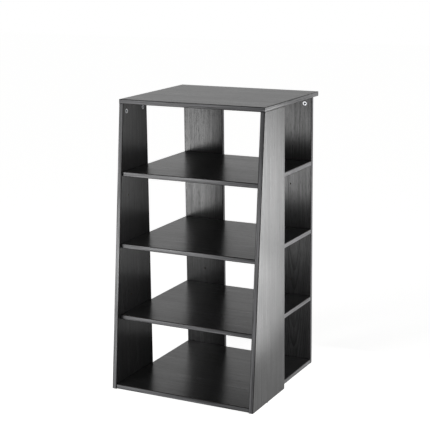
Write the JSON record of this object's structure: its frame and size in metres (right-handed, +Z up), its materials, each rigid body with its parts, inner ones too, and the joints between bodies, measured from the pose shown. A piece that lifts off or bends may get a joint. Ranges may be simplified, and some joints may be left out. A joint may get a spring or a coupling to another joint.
{
  "type": "media stand",
  "caption": "Open media stand with slanted side panels, two narrow rear panels, a top board, adjustable shelves and a bottom board.",
  "frame": {"origin": "on the floor, under the middle of the stand's outline", "axes": "+Z up, +X to the right as seen from the front, +Y from the open front towards the rear panels"},
  "size_m": [0.5, 0.5, 0.925],
  "materials": {
    "black_melamine": "black woodgrain melamine on particleboard, satin",
    "cam_zinc": "die-cast zinc, satin",
    "bolt_steel": "zinc-plated steel",
    "glide_plastic": "black polyethylene, matt"
  },
  "bodies": {
    "root": {"top_board": "black_melamine", "side_panel_left": "black_melamine", "side_panel_right": "black_melamine", "rear_panel_left": "black_melamine", "rear_panel_right": "black_melamine", "upper_shelf": "black_melamine", "middle_shelf": "black_melamine", "lower_shelf": "black_melamine", "bottom_board": "black_melamine", "top_side_left_front_cam": "cam_zinc", "top_side_left_front_bolt": "bolt_steel", "top_side_left_rear_cam": "cam_zinc", "top_side_left_rear_bolt": "bolt_steel", "top_side_right_front_cam": "cam_zinc", "top_side_right_front_bolt": "bolt_steel", "top_side_right_rear_cam": "cam_zinc", "top_side_right_rear_bolt": "bolt_steel", "top_rear_left_outer_cam": "cam_zinc", "top_rear_left_outer_bolt": "bolt_steel", "top_rear_left_inner_cam": "cam_zinc", "top_rear_left_inner_bolt": "bolt_steel", "top_rear_right_outer_cam": "cam_zinc", "top_rear_right_outer_bolt": "bolt_steel", "top_rear_right_inner_cam": "cam_zinc", "top_rear_right_inner_bolt": "bolt_steel", "upper_shelf_side_left_cam": "cam_zinc", "upper_shelf_side_left_bolt": "bolt_steel", "upper_shelf_side_right_cam": "cam_zinc", "upper_shelf_side_right_bolt": "bolt_steel", "upper_shelf_rear_left_cam": "cam_zinc", "upper_shelf_rear_left_bolt": "bolt_steel", "upper_shelf_rear_right_cam": "cam_zinc", "upper_shelf_rear_right_bolt": "bolt_steel", "middle_shelf_side_left_cam": "cam_zinc", "middle_shelf_side_left_bolt": "bolt_steel", "middle_shelf_side_right_cam": "cam_zinc", "middle_shelf_side_right_bolt": "bolt_steel", "middle_shelf_rear_left_cam": "cam_zinc", "middle_shelf_rear_left_bolt": "bolt_steel", "middle_shelf_rear_right_cam": "cam_zinc", "middle_shelf_rear_right_bolt": "bolt_steel", "lower_shelf_side_left_cam": "cam_zinc", "lower_shelf_side_left_bolt": "bolt_steel", "lower_shelf_side_right_cam": "cam_zinc", "lower_shelf_side_right_bolt": "bolt_steel", "lower_shelf_rear_left_cam": "cam_zinc", "lower_shelf_rear_left_bolt": "bolt_steel", "lower_shelf_rear_right_cam": "cam_zinc", "lower_shelf_rear_right_bolt": "bolt_steel", "bottom_board_side_left_cam_fitting": "cam_zinc", "bottom_board_side_right_cam_fitting": "cam_zinc", "bottom_board_rear_left_cam_fitting": "cam_zinc", "bottom_board_rear_right_cam_fitting": "cam_zinc", "glide_side_left": "glide_plastic", "glide_side_right": "glide_plastic", "glide_rear_left": "glide_plastic", "glide_rear_right": "glide_plastic"}
  },
  "joints": []
}
